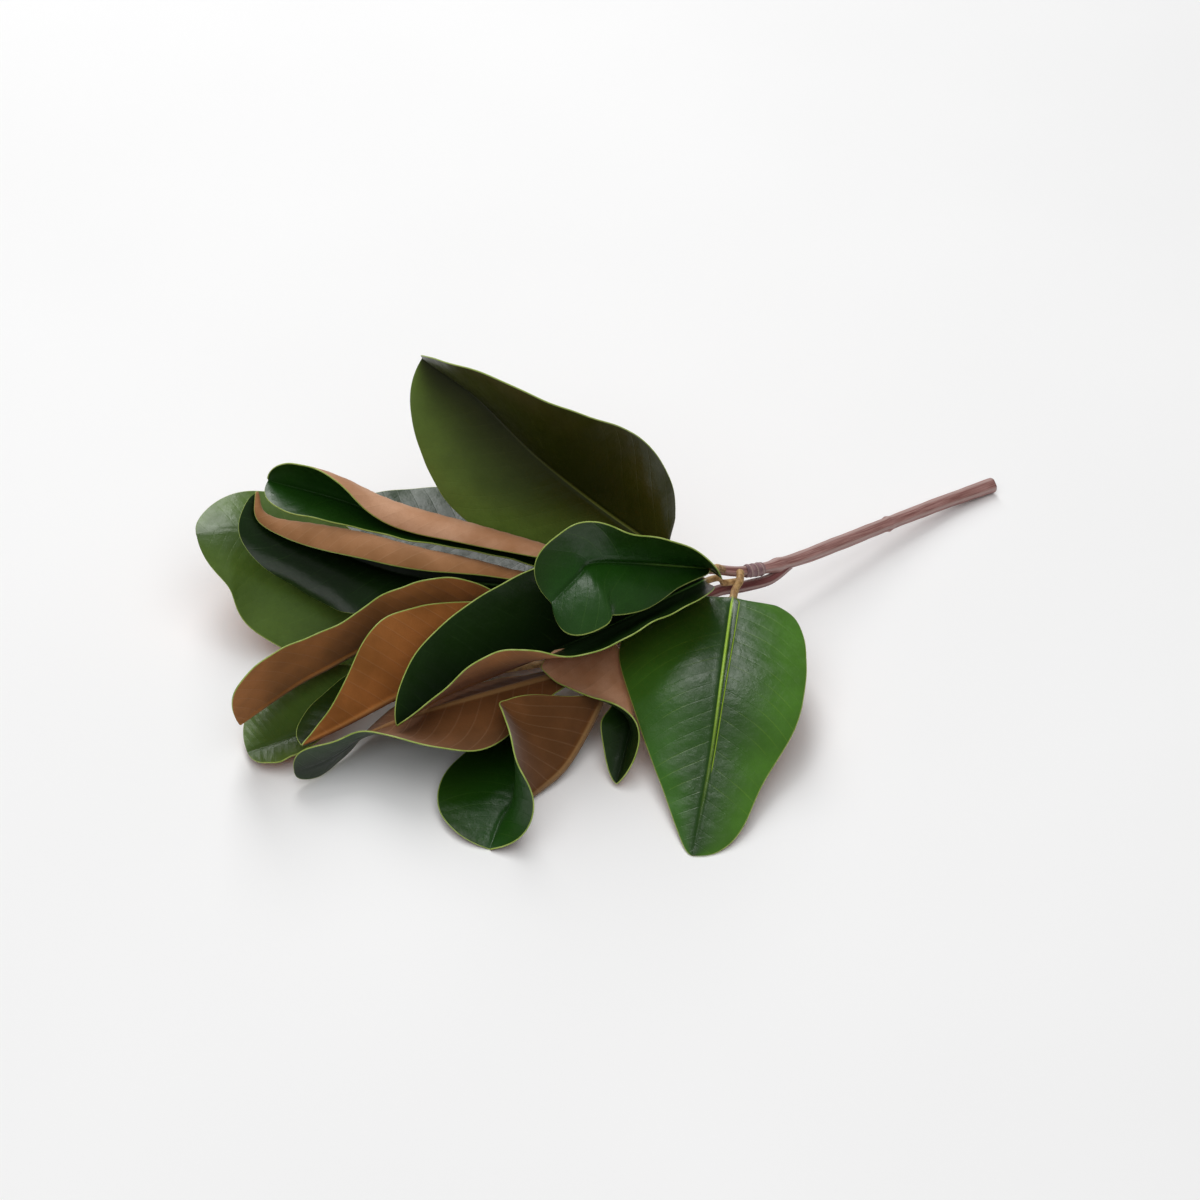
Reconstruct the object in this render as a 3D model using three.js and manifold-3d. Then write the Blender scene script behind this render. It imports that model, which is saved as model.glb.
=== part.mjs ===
// A cut magnolia branch lying on a flat surface: one stem that divides into two shoots, and fourteen leaves.
// Millimetres, x along the branch towards the cut end, y away from the front, z up from the surface.
// Every leaf is a blade swept along its midrib: at each station two halves leave the midrib at a fold angle
// and turn by a curl angle on the way to the margin, and the petiole is the same sweep with a round section.
import * as THREE from "three";
import { mergeVertices } from "three/addons/utils/BufferGeometryUtils.js";
import Module from "manifold-3d";

// Driving dimensions
const BLADE_THICKNESS = 0.8;
const PETIOLE_RADIUS = 2.0;
const RIDGE_AT_BASE = 1.8; // how far the midrib stands out of the underside
const RIDGE_AT_TIP = 0.3;
const RIDGE_SHARE = 0.06; // share of a half's width that the midrib takes
const BLADE_ROWS = 16;
const PETIOLE_ROWS = 3;
const MARGIN_COLUMNS = 3; // columns between the midrib's ridge and the margin
const CURLED_COLUMNS = 6; // the same on a half that rolls over
const STEM_SIDES = 10;
const SHOOT_SIDES = 8;
const FIT_GAP = 0.3;
const SURFACE_SIZE = 800; // the block below the surface, which cuts flat the spots that rest on it
const FOOTPRINT_CENTRE = new THREE.Vector3(5.75, -52.75, 0);

// Colours of the photographed branch
const LEAF_GREEN = 0x24431a;
const LEAF_GREEN_LIGHT = 0x3d6426;
const LEAF_GREEN_DEEP = 0x1b3518;
const STEM_MAROON = 0x7a4a46;
const TAPE_PURPLE = 0x75595a;

// The stem runs from its cut end to the tip of the upper shoot, and each point has its radius.
const STEM_PATH = [
  { at: [246, 107, 4.3], radius: 4.8 },
  { at: [212, 84, 8], radius: 4.4 },
  { at: [178, 57, 14], radius: 4.3 },
  { at: [144, 27, 22], radius: 4.3 },
  { at: [113, 0, 30], radius: 4.5 },
  { at: [85, -19, 38], radius: 3.8 },
  { at: [58, -22, 42], radius: 3.0 },
  { at: [29, -34, 44], radius: 2.8 },
  { at: [14, -42, 44], radius: 2.5 },
];
const LOWER_SHOOT_PATH = [
  { at: [112, -2, 29], radius: 3.0 },
  { at: [100, -13, 26.8], radius: 3.3 },
  { at: [84, -21, 28], radius: 3.3 },
  { at: [68, -28, 30], radius: 3.3 },
  { at: [46, -45, 30], radius: 2.7 },
  { at: [26, -59, 29], radius: 2.6 },
  { at: [9, -71, 27], radius: 3.0 },
  { at: [0, -76, 26], radius: 2.5 },
];
const STEM_STEP = 8;
const SHOOT_STEP = 5;
// Rings that stand out of the stem: where along it they are, how far they reach, and how high.
const LEAF_SCAR = { middle: 0.31, spread: 0.006, height: 0.7 };
const FORK_COLLAR = { middle: 0.648, spread: 0.014, height: 1.0 };
// A sleeve of tape binds the upper shoot just past the fork.
const BINDING_SPAN = [0.69, 0.732];
const BINDING_WALL = 0.6;
const SLEEVE_ROWS = 4;

// A half's fold and curl are in degrees and its span is a share of half the leaf's width: each list
// runs from the base to the tip in equal steps. The outline grows with the base power of the way
// along and shrinks with the tip power of what is left, so small powers make blunt ends. A half's
// sweep moves its margin towards the tip, as a share of its width.
const LEAVES = {
  leaf_back_tall: {
    colour: LEAF_GREEN,
    petiole: [[55.5, -17, 44.6], [48, -14, 45.5]],
    midrib: [[40, -12, 46], [4, -1, 68], [-38, 12, 100], [-71, 30, 127], [-103, 51, 142]],
    roll: [55], width: 116, outline: { base: 0.5, tip: 0.45 },
    left: { fold: [5], curl: [-15], span: [0.5, 0.65, 0.95, 1, 1] },
    right: { fold: [10, 34, 58, 74, 94], curl: [-30], span: [1, 1, 1, 0.97, 0.82] },
  },
  leaf_back_low: {
    colour: LEAF_GREEN_DEEP,
    petiole: [[27.5, -30.5, 41], [23, -26, 39]],
    midrib: [[16, -23, 38], [-41, -5, 40], [-101, 12, 45], [-161, 25, 52]],
    roll: [0], width: 84, outline: { base: 0.5, tip: 0.8 },
    left: { fold: [0, -10], curl: [0], span: [1] },
    right: { fold: [5, 5], curl: [0], span: [1.1] },
  },
  leaf_rolled_back: {
    colour: LEAF_GREEN,
    petiole: [[12, -42.5, 49], [9, -44, 53]],
    midrib: [[2, -47, 57], [-58, -30, 64], [-116, -12, 70], [-154, 0, 77], [-194, 11, 82]],
    roll: [0], width: 92, outline: { base: 0.5, tip: 0.42 },
    left: { fold: [25, 25, 22, 12, 0], curl: [0], span: [0.5, 0.35, 0.5, 0.6, 0.9] },
    right: {
      fold: [50, 55, 60, 60, 70, 75], curl: [150, 165, 170, 175, 95, 30],
      span: [0.9, 0.8, 0.78, 0.78, 0.85, 0.68],
    },
  },
  leaf_rolled_front: {
    colour: LEAF_GREEN_DEEP,
    petiole: [[12.9, -42.6, 44], [1, -47, 46]],
    midrib: [[-9, -50, 48], [-69, -45, 50], [-115, -40, 53], [-159, -27, 62], [-193, -19, 76], [-198, -11, 90]],
    roll: [0], width: 96, outline: { base: 0.5, tip: 0.42 },
    left: { fold: [20, 20, 10, 0, -5], curl: [0, 0, -40, -130, -20], span: [0.4, 0.45, 0.55, 0.85, 0.5] },
    right: {
      fold: [50, 40, 40, 40, 50, 60], curl: [150, 170, 180, 185, 190, 190],
      span: [0.5, 0.65, 0.9, 1, 0.8, 0.2],
    },
  },
  leaf_far_left: {
    colour: LEAF_GREEN_LIGHT,
    petiole: [[12, -42, 38.7], [-2, -38, 32]],
    midrib: [[-23, -35, 28], [-112, -25, 24], [-176, -8, 42], [-211, -2, 56], [-236, -9, 58]],
    roll: [0], width: 106, outline: { base: 0.5, tip: 0.45 },
    left: { fold: [0, -18, -20], curl: [-20], span: [1, 1, 1.05, 1.13, 1.1] },
    right: { fold: [10, -26.5, -20, 0, 8], curl: [0], span: [1, 1, 1, 1, 0.75] },
  },
  leaf_left_upper: {
    colour: LEAF_GREEN_DEEP,
    petiole: [[16.5, -46.6, 43], [0, -53, 42], [-20, -58, 41.5]],
    midrib: [[-40, -61, 42], [-114, -75, 38], [-158, -100, 32], [-178, -114, 28], [-201, -136, 24]],
    roll: [0], width: 84, outline: { base: 0.5, tip: 0.5 },
    left: { fold: [78], curl: [5], span: [0.5, 1.1, 0.98, 0.78, 1.15, 2], sweep: [0, 0, 0, 0, 0.1, 0.35] },
    right: { fold: [10, 0, 5, 10], curl: [0], span: [0.65, 0.5, 0.5, 0.4] },
  },
  leaf_left_middle: {
    colour: LEAF_GREEN_DEEP,
    petiole: [[-2.5, -74.5, 30.3], [-14, -71, 31.5]],
    midrib: [[-32, -68, 36], [-85, -95, 28], [-117, -115, 24], [-145, -136, 22], [-165, -153, 24]],
    roll: [0], width: 96, outline: { base: 0.5, tip: 0.5 },
    left: { fold: [112], curl: [0], span: [0.85, 0.81, 0.92, 0.93, 0.5, 0.1] },
    right: { fold: [12, 0], curl: [0], span: [0.7] },
  },
  leaf_small_left: {
    colour: LEAF_GREEN_LIGHT,
    petiole: [[-1, -75, 22.6], [-30, -80, 21], [-60, -86, 20], [-95, -91, 16]],
    midrib: [[-123, -97, 14], [-147, -113, 11], [-169, -126, 8], [-198, -138, 4]],
    roll: [0], width: 76, outline: { base: 0.5, tip: 0.45 },
    left: { fold: [20, 10], curl: [0], span: [0.1, 0.35, 0.8] },
    right: { fold: [20, 15], curl: [0], span: [1] },
  },
  leaf_boat: {
    colour: LEAF_GREEN_DEEP,
    petiole: [[80, -26.5, 37.5], [72, -29, 38.5]],
    midrib: [[62, -34, 44], [2, -69, 36], [-57, -102, 32], [-89, -125, 34], [-112, -150, 36]],
    roll: [0], width: 115, outline: { base: 0.5, tip: 0.65 },
    left: { fold: [30, 38, 37, 60, 50], curl: [0], span: [1] },
    right: { fold: [70, 75, 72, 65, 55], curl: [0], span: [0.92] },
  },
  leaf_short_top: {
    colour: LEAF_GREEN,
    petiole: [[72, -25, 45.5], [68, -31, 52]],
    midrib: [[63, -38, 56], [23, -61, 78], [-4, -73, 88], [-12, -85, 89], [-27, -100, 82]],
    roll: [0], width: 84, outline: { base: 0.5, tip: 0.45 },
    left: {
      fold: [0], curl: [-20, -30, -40, -40, -30],
      span: [0.3, 0.45, 0.8, 0.9, 0.95], sweep: [0, 0, 0.1, 0.4, 0.8],
    },
    right: {
      fold: [150, 120, 95, 80, 50, 30], curl: [60, 40, 40, 40, 20, 0],
      span: [1.1, 0.82, 0.64, 0.6, 0.75, 1],
    },
  },
  leaf_face_down: {
    colour: LEAF_GREEN_DEEP,
    petiole: [[-2.4, -78.2, 25.7], [-9, -87, 29]],
    midrib: [[-14, -98, 30], [-75, -126, 32], [-105, -135, 28], [-130, -143, 21], [-151, -155, 14], [-169, -163, 12]],
    roll: [180, 180, 180, 170, 125, 90], width: 84, outline: { base: 0.5, tip: 0.4 },
    left: { fold: [25, 25, 20, 0, 0], curl: [0], span: [0.6, 0.6, 0.6, 0.5, 0.45] },
    right: { fold: [10, 6, 4, 0, 0, 0], curl: [0, 0, -5, -20, -20, 0], span: [0.4, 0.6, 1, 0.8, 0.45, 0.8] },
  },
  leaf_front_floor: {
    colour: LEAF_GREEN,
    petiole: [[9, -74, 23.4], [6, -90, 25]],
    midrib: [[2, -110, 25], [-8, -130, 14], [-21, -153, 6], [-39, -172, 3], [-52, -184, 2], [-60, -211, 1]],
    roll: [0], width: 96, outline: { base: 0.5, tip: 0.45 },
    left: { fold: [108, 122, 120, 70, 15], curl: [20], span: [0.1, 0.95, 1.1, 1.04, 1.04, 1.04] },
    right: { fold: [-10, 5, 10], curl: [0], span: [0.5, 0.7, 1, 1, 1] },
  },
  leaf_small_front: {
    colour: LEAF_GREEN_DEEP,
    petiole: [[8.3, -75, 31.3]],
    midrib: [[6, -79, 33], [10.5, -87, 31], [15.3, -108, 24.2], [17, -128, 18], [14, -143, 11], [9, -162, 3]],
    roll: [0], width: 90, outline: { base: 0.45, tip: 0.7 },
    left: { fold: [170, 168, 165, 145, 75, 50, 45], curl: [0], span: [1.9, 1.25, 0.85, 0.6, 0.5, 0.5, 0.6] },
    right: { fold: [5, 0, 10, 10], curl: [0], span: [0.08, 0.08, 0.15, 0.4, 0.4, 0.4] },
  },
  leaf_front_right: {
    colour: LEAF_GREEN_LIGHT,
    petiole: [[82, -24, 43], [81, -34, 43]],
    midrib: [[77, -45, 40], [69, -107, 38], [61, -161, 20], [50, -216, 0.8]],
    roll: [0], width: 112, outline: { base: 0.4, tip: 0.5 },
    left: { fold: [5], curl: [-20], span: [1.02, 0.89, 0.81, 0.63, 0.8], sweep: [-0.2, 0, 0] },
    right: { fold: [5], curl: [-20], span: [1.1, 1.17, 0.86, 0.58, 0.3], sweep: [-0.2, 0, 0] },
  },
};

const UP = new THREE.Vector3(0, 0, 1);
const radians = THREE.MathUtils.degToRad;

// The value at t (0 to 1) of a list of numbers in equal steps, on a smooth curve through them.
function along(list, t) {
  if (list.length === 1) return list[0];
  const points = list.map((value) => new THREE.Vector3(value, 0, 0));
  if (list.length === 2) return THREE.MathUtils.lerp(list[0], list[1], t);
  return new THREE.CatmullRomCurve3(points, false, "catmullrom", 0.5).getPoint(t).x;
}

function curveThrough(points) {
  return new THREE.CatmullRomCurve3(points.map((p) => new THREE.Vector3(...p)), false, "catmullrom", 0.5);
}

// The way across at one point of a curve: side points right of the direction of travel, up out of the face.
function frameAt(tangent, rollDegrees = 0) {
  const level = new THREE.Vector3().crossVectors(tangent, UP).normalize();
  const side = level.applyAxisAngle(tangent, -radians(rollDegrees));
  const up = new THREE.Vector3().crossVectors(side, tangent);
  return { side, up };
}

// The point at share s of the way from the midrib to the margin, as its distance out, up and towards the
// tip: an arc that leaves at the fold angle and has turned by the curl angle at its end.
function halfSection(half, u, reach, s) {
  const fold = radians(along(half.fold, u));
  const curl = radians(along(half.curl, u)) || 1e-4;
  const length = reach * along(half.span, u);
  const out = (length / curl) * (Math.sin(fold + curl * s) - Math.sin(fold));
  const rise = (length / curl) * (Math.cos(fold) - Math.cos(fold + curl * s));
  const forward = half.sweep ? along(half.sweep, u) * length * s : 0;
  return [out, rise, forward];
}

// Half the outline's width at u, where 1 is the widest place.
function outlineAt(outline, u) {
  const widest = outline.base / (outline.base + outline.tip);
  const value = (t) => t ** outline.base * (1 - t) ** outline.tip;
  return value(THREE.MathUtils.clamp(u, 0.0005, 0.998)) / value(widest);
}

// Shares of a half's width at which its columns stand, from the midrib out.
function columnShares(half) {
  const columns = Math.max(...half.curl.map(Math.abs)) > 90 ? CURLED_COLUMNS : MARGIN_COLUMNS;
  const shares = [RIDGE_SHARE];
  for (let i = 1; i <= columns; i++) shares.push(RIDGE_SHARE + ((1 - RIDGE_SHARE) * i) / columns);
  return shares;
}

// Stations of the blade, closer together at both ends, where the outline turns fastest.
function bladeStations() {
  const stations = [];
  for (let i = 1; i <= BLADE_ROWS; i++) {
    const k = i / BLADE_ROWS;
    stations.push(0.3 * (1 - Math.cos(Math.PI * k)) + 0.4 * k);
  }
  return stations;
}

// One row across the blade: its upper points, and how thick it is below each of them.
function bladeRow(leaf, u, centre, tangent, leftShares, rightShares) {
  const frame = frameAt(tangent, along(leaf.roll, u));
  const reach = (leaf.width / 2) * outlineAt(leaf.outline, u);
  const place = (half, sign, s) => {
    const [out, rise, forward] = halfSection(half, u, reach, s);
    const point = centre.clone().addScaledVector(frame.side, sign * out);
    return point.addScaledVector(frame.up, rise).addScaledVector(tangent, forward);
  };
  const ridge = THREE.MathUtils.lerp(RIDGE_AT_BASE, RIDGE_AT_TIP, u);
  const upper = [
    ...leftShares.toReversed().map((s) => place(leaf.left, -1, s)),
    centre.clone(),
    ...rightShares.map((s) => place(leaf.right, 1, s)),
  ];
  const depth = upper.map(() => BLADE_THICKNESS);
  depth[leftShares.length] += ridge;
  return { upper, depth };
}

// One row round the petiole: a circle whose upper half has as many points as the blade has columns.
function petioleRow(centre, frame, leftCount, rightCount) {
  const upper = [];
  const lower = [];
  for (let i = -leftCount; i <= rightCount; i++) {
    const angle = (Math.PI / 2) * (i < 0 ? i / leftCount : i / rightCount);
    const out = PETIOLE_RADIUS * Math.sin(angle);
    const rise = Math.max(PETIOLE_RADIUS * Math.cos(angle), BLADE_THICKNESS / 2);
    const middle = centre.clone().addScaledVector(frame.up, -PETIOLE_RADIUS / 2).addScaledVector(frame.side, out);
    upper.push(middle.clone().addScaledVector(frame.up, rise));
    lower.push(middle.clone().addScaledVector(frame.up, -rise));
  }
  return { upper, lower };
}

// The underside of the blade: every upper point moved along the face's own normal by its depth.
function undersideOf(rows) {
  return rows.map((row, i) => {
    if (row.lower) return row.lower;
    const before = rows[i - 1].upper;
    const after = rows[Math.min(i + 1, rows.length - 1)].upper;
    return row.upper.map((point, j) => {
      const left = row.upper[Math.max(j - 1, 0)];
      const right = row.upper[Math.min(j + 1, row.upper.length - 1)];
      const across = new THREE.Vector3().subVectors(right, left);
      const forward = new THREE.Vector3().subVectors(after[j], before[j]);
      const normal = across.cross(forward).normalize();
      return point.clone().addScaledVector(normal, -row.depth[j]);
    });
  });
}

// A closed body from two grids of points, with the same diagonal in each pair of facing quads.
function closedBody(upper, lower) {
  const rows = upper.length;
  const columns = upper[0].length;
  const positions = [...upper.flat(), ...lower.flat()].flatMap((p) => [p.x, p.y, p.z]);
  const top = (i, j) => i * columns + j;
  const bottom = (i, j) => rows * columns + i * columns + j;
  const index = [];
  const quad = (a, b, c, d) => index.push(a, b, c, a, c, d);
  for (let i = 0; i + 1 < rows; i++) {
    for (let j = 0; j + 1 < columns; j++) {
      quad(top(i, j), top(i, j + 1), top(i + 1, j + 1), top(i + 1, j));
      index.push(bottom(i, j), bottom(i + 1, j + 1), bottom(i, j + 1));
      index.push(bottom(i, j), bottom(i + 1, j), bottom(i + 1, j + 1));
    }
    quad(top(i, 0), top(i + 1, 0), bottom(i + 1, 0), bottom(i, 0));
    const last = columns - 1;
    quad(top(i + 1, last), top(i, last), bottom(i, last), bottom(i + 1, last));
  }
  for (let j = 0; j + 1 < columns; j++) {
    quad(top(0, j + 1), top(0, j), bottom(0, j), bottom(0, j + 1));
    quad(top(rows - 1, j), top(rows - 1, j + 1), bottom(rows - 1, j + 1), bottom(rows - 1, j));
  }
  const geometry = new THREE.BufferGeometry();
  geometry.setAttribute("position", new THREE.Float32BufferAttribute(positions, 3));
  geometry.setIndex(index);
  return geometry;
}

function leafGeometry(leaf) {
  const curve = curveThrough([...leaf.petiole, ...leaf.midrib]);
  curve.arcLengthDivisions = 400;
  const lengths = curve.getLengths();
  const joint = leaf.petiole.length / (leaf.petiole.length + leaf.midrib.length - 1);
  const total = lengths.at(-1);
  const start = lengths[Math.round(joint * 400)] / total; // where the petiole ends, as a share of the whole
  const leftShares = columnShares(leaf.left);
  const rightShares = columnShares(leaf.right);
  const rows = [];
  for (let i = 0; i <= PETIOLE_ROWS; i++) {
    const t = (start * i) / PETIOLE_ROWS;
    const frame = frameAt(curve.getTangentAt(t), leaf.roll[0]);
    rows.push(petioleRow(curve.getPointAt(t), frame, leftShares.length, rightShares.length));
  }
  for (const u of bladeStations()) {
    const t = Math.min(start + (1 - start) * u, 1);
    rows.push(bladeRow(leaf, u, curve.getPointAt(t), curve.getTangentAt(t), leftShares, rightShares));
  }
  return closedBody(rows.map((row) => row.upper), undersideOf(rows));
}

// Rings of points along part of a path, each ring square to the path.
function ringsAlong(path, from, to, steps, sides, radiusAt) {
  const curve = curveThrough(path.map((knot) => knot.at));
  const rings = [];
  for (let i = 0; i <= steps; i++) {
    const t = THREE.MathUtils.lerp(from, to, i / steps);
    const centre = curve.getPointAt(t);
    const { side, up } = frameAt(curve.getTangentAt(t));
    const radius = radiusAt(t);
    const ring = [];
    for (let k = 0; k < sides; k++) {
      const angle = (2 * Math.PI * (k + 0.5)) / sides;
      const point = centre.clone().addScaledVector(side, radius * Math.cos(angle));
      ring.push(point.addScaledVector(up, radius * Math.sin(angle)));
    }
    rings.push(ring);
  }
  return rings;
}

function pathRadius(path, t) {
  return along(path.map((knot) => knot.radius), t);
}

// A closed body round rings of points, with flat ends.
function tubeBody(rings) {
  const sides = rings[0].length;
  const positions = rings.flat().flatMap((p) => [p.x, p.y, p.z]);
  const index = [];
  for (let i = 0; i + 1 < rings.length; i++) {
    for (let k = 0; k < sides; k++) {
      const next = (k + 1) % sides;
      const [a, b, c, d] = [i * sides + k, (i + 1) * sides + k, (i + 1) * sides + next, i * sides + next];
      index.push(a, b, c, a, c, d);
    }
  }
  const last = (rings.length - 1) * sides;
  for (let k = 1; k + 1 < sides; k++) {
    index.push(0, k, k + 1);
    index.push(last, last + k + 1, last + k);
  }
  const geometry = new THREE.BufferGeometry();
  geometry.setAttribute("position", new THREE.Float32BufferAttribute(positions, 3));
  geometry.setIndex(index);
  return geometry;
}

// A closed body between two sets of rings of the same count, open in the middle.
function sleeveBody(outer, inner) {
  const sides = outer[0].length;
  const rows = outer.length;
  const positions = [...outer.flat(), ...inner.flat()].flatMap((p) => [p.x, p.y, p.z]);
  const out = (i, k) => i * sides + (k % sides);
  const into = (i, k) => rows * sides + i * sides + (k % sides);
  const index = [];
  const quad = (a, b, c, d) => index.push(a, c, b, a, d, c);
  for (let k = 0; k < sides; k++) {
    for (let i = 0; i + 1 < rows; i++) {
      quad(out(i, k), out(i, k + 1), out(i + 1, k + 1), out(i + 1, k));
      quad(into(i, k + 1), into(i, k), into(i + 1, k), into(i + 1, k + 1));
    }
    quad(out(0, k + 1), out(0, k), into(0, k), into(0, k + 1));
    quad(out(rows - 1, k), out(rows - 1, k + 1), into(rows - 1, k + 1), into(rows - 1, k));
  }
  const geometry = new THREE.BufferGeometry();
  geometry.setAttribute("position", new THREE.Float32BufferAttribute(positions, 3));
  geometry.setIndex(index);
  return geometry;
}

const manifold = await Module();
manifold.setup();

function solidOf(geometry) {
  const merged = mergeVertices(geometry);
  const vertProperties = merged.getAttribute("position").array;
  const triVerts = new Uint32Array(merged.index.array);
  return new manifold.Manifold(new manifold.Mesh({ numProp: 3, vertProperties, triVerts }));
}

function geometryOf(solid) {
  const { vertProperties, triVerts } = solid.getMesh();
  const geometry = new THREE.BufferGeometry();
  geometry.setAttribute("position", new THREE.Float32BufferAttribute(vertProperties, 3));
  geometry.setIndex(new THREE.Uint32BufferAttribute(triVerts, 1));
  return geometry;
}

// What lies below the surface: a leaf or stem that dips into it is cut flat where it rests.
const belowSurface = solidOf(
  new THREE.BoxGeometry(SURFACE_SIZE, SURFACE_SIZE, SURFACE_SIZE)
    .deleteAttribute("normal")
    .deleteAttribute("uv")
    .translate(0, 0, -SURFACE_SIZE / 2),
);

function restingOnSurface(geometry) {
  geometry.computeBoundingBox();
  if (geometry.boundingBox.min.z >= 0) return geometry;
  return geometryOf(solidOf(geometry).subtract(belowSurface));
}

function named(name, geometry, colour, roughness) {
  const material = new THREE.MeshStandardMaterial({ color: colour, roughness, metalness: 0 });
  const mesh = new THREE.Mesh(geometry, material);
  mesh.name = name;
  return mesh;
}

function shootBody(path, step, sides, radiusAt) {
  const length = curveThrough(path.map((knot) => knot.at)).getLength();
  return tubeBody(ringsAlong(path, 0, 1, Math.round(length / step), sides, radiusAt));
}

function ringHeight(ring, t) {
  return ring.height * Math.exp(-(((t - ring.middle) / ring.spread) ** 2));
}

// The stem with its leaf scar and the collar where it forks, grown together with the lower shoot.
function mainStem() {
  const stemRadius = (t) => pathRadius(STEM_PATH, t) + ringHeight(LEAF_SCAR, t) + ringHeight(FORK_COLLAR, t);
  const stem = shootBody(STEM_PATH, STEM_STEP, STEM_SIDES, stemRadius);
  const lower = shootBody(LOWER_SHOOT_PATH, SHOOT_STEP, SHOOT_SIDES, (t) => pathRadius(LOWER_SHOOT_PATH, t));
  return geometryOf(solidOf(stem).add(solidOf(lower)));
}

function binding() {
  const inside = (t) => (pathRadius(STEM_PATH, t) + FIT_GAP) / Math.cos(Math.PI / STEM_SIDES);
  const outside = (t) => inside(t) + BINDING_WALL;
  const [from, to] = BINDING_SPAN;
  const outer = ringsAlong(STEM_PATH, from, to, SLEEVE_ROWS, STEM_SIDES, outside);
  const inner = ringsAlong(STEM_PATH, from, to, SLEEVE_ROWS, STEM_SIDES, inside);
  return sleeveBody(outer, inner);
}

const branch = new THREE.Group();
branch.add(named("main_stem", restingOnSurface(mainStem()), STEM_MAROON, 0.5));
branch.add(named("binding", binding(), TAPE_PURPLE, 0.6));
for (const [name, leaf] of Object.entries(LEAVES)) {
  branch.add(named(name, restingOnSurface(leafGeometry(leaf)), leaf.colour, 0.35));
}
branch.position.copy(FOOTPRINT_CENTRE).negate();

export default branch;
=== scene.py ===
"""A cut magnolia branch lying on a pale surface: one stem, a bound fork and fourteen glossy leaves.

Lengths are written in millimetres, in the branch's own layout frame (x towards the cut end, y away from
the front, z up from the surface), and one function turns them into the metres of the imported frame.
"""

from __future__ import annotations

import logging
from dataclasses import dataclass
from enum import Enum

import bpy
import numpy as np
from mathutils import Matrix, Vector


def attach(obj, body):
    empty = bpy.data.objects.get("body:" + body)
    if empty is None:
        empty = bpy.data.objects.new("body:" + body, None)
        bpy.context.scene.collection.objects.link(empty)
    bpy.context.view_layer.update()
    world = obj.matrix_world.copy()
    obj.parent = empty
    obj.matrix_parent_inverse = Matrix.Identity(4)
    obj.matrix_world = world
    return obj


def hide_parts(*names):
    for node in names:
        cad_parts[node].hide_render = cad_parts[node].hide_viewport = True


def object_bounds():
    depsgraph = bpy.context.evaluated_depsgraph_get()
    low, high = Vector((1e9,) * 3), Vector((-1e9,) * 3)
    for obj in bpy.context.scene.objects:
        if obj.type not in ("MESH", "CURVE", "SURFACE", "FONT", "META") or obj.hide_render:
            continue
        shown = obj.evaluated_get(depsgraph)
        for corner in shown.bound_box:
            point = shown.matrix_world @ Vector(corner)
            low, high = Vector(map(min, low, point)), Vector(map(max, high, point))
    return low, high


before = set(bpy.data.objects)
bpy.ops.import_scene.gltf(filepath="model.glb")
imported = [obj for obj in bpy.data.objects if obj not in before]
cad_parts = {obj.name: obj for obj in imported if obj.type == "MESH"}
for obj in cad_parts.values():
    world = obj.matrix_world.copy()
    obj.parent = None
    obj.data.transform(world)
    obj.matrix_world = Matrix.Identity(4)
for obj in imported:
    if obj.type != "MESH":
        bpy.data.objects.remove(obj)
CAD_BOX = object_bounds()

Array = np.ndarray
Socket = bpy.types.NodeSocket
Numbers = tuple[float, ...]
Point = tuple[float, float, float]

log = logging.getLogger("magnolia")

MM = 0.001
FOOTPRINT_CENTRE = np.array([5.75, -52.75, 0.0])
UP = np.array([0.0, 0.0, 1.0])
ARC_SAMPLES = 800  # straight steps that measure a path
TANGENT_STEP = 1e-3  # how far ahead and behind a direction is read
CLEARANCE = 0.05  # least height above the surface
TINY = 1e-9  # least length that anything is divided by
CUT_RING = 0.55  # size of the smaller ring at a shoot's end
LEAST_CURL = 1e-4  # radians, which stand for a straight half
OFF_ENDS = (0.0005, 0.99995)  # between which a blade's width is read
ROW_BUNCHING, COLUMN_BUNCHING = 0.84, 0.72  # how far a blade's rows and columns draw together at their ends

# Where a leaf turns from blade to petiole along its length, and the bare line at its margin in millimetres
STALK_EDGE = (0.015, -0.005)
MARGIN_LINE = (0.4, 0.12)

# Where the petiole's rows are counted from, and where along a leaf the petiole is mixed into the blade
PETIOLE_START = -0.1
PETIOLE_BLEND = (-0.005, 0.032)

# A blade's relief: the groove along the midrib and its banks, the pillows, the margin's waves and the veins
GROOVE_DEPTH, GROOVE_SPREAD, GROOVE_FADES = 0.55, 0.9, 0.6
BANK_HEIGHT, BANK_PLACE, BANK_SPREAD = 0.35, 2.4, 1.3
PILLOW_HEIGHT = 0.07
RIM_BULGE = 0.4
RIDGE_SPREAD, RIDGE_NARROWS = 1.7, 0.8
WAVE_HEIGHT, WAVE_SIZES = 0.7, (11.0, 6.5, 4.1)
VEIN_SPACING, VEIN_SLANT, VEIN_BEND, VEIN_HEIGHT = 11.0, 0.6, 0.006, 0.12


def to_packed(points: Array) -> Array:
    """Points of the layout frame in millimetres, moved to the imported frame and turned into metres."""
    return (points - FOOTPRINT_CENTRE) * MM


def linear(hex_colour: str) -> Numbers:
    """An sRGB hex colour as the linear red, green and blue that the shaders take, and an alpha of one."""
    parts = [int(hex_colour[i : i + 2], 16) / 255 for i in (0, 2, 4)]
    return *[c / 12.92 if c <= 0.04045 else ((c + 0.055) / 1.055) ** 2.4 for c in parts], 1.0


def smooth(edge0: float, edge1: float, value: Array) -> Array:
    """A smooth step from 0 at edge0 to 1 at edge1, which is 3x² − 2x³ of the share x between them."""
    x = np.clip((value - edge0) / (edge1 - edge0), 0, 1)
    return x * x * (3 - 2 * x)


def unit(vectors: Array) -> Array:
    """The directions of the vectors, each at length one."""
    return vectors / np.maximum(np.linalg.norm(vectors, axis=-1, keepdims=True), TINY)


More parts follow.
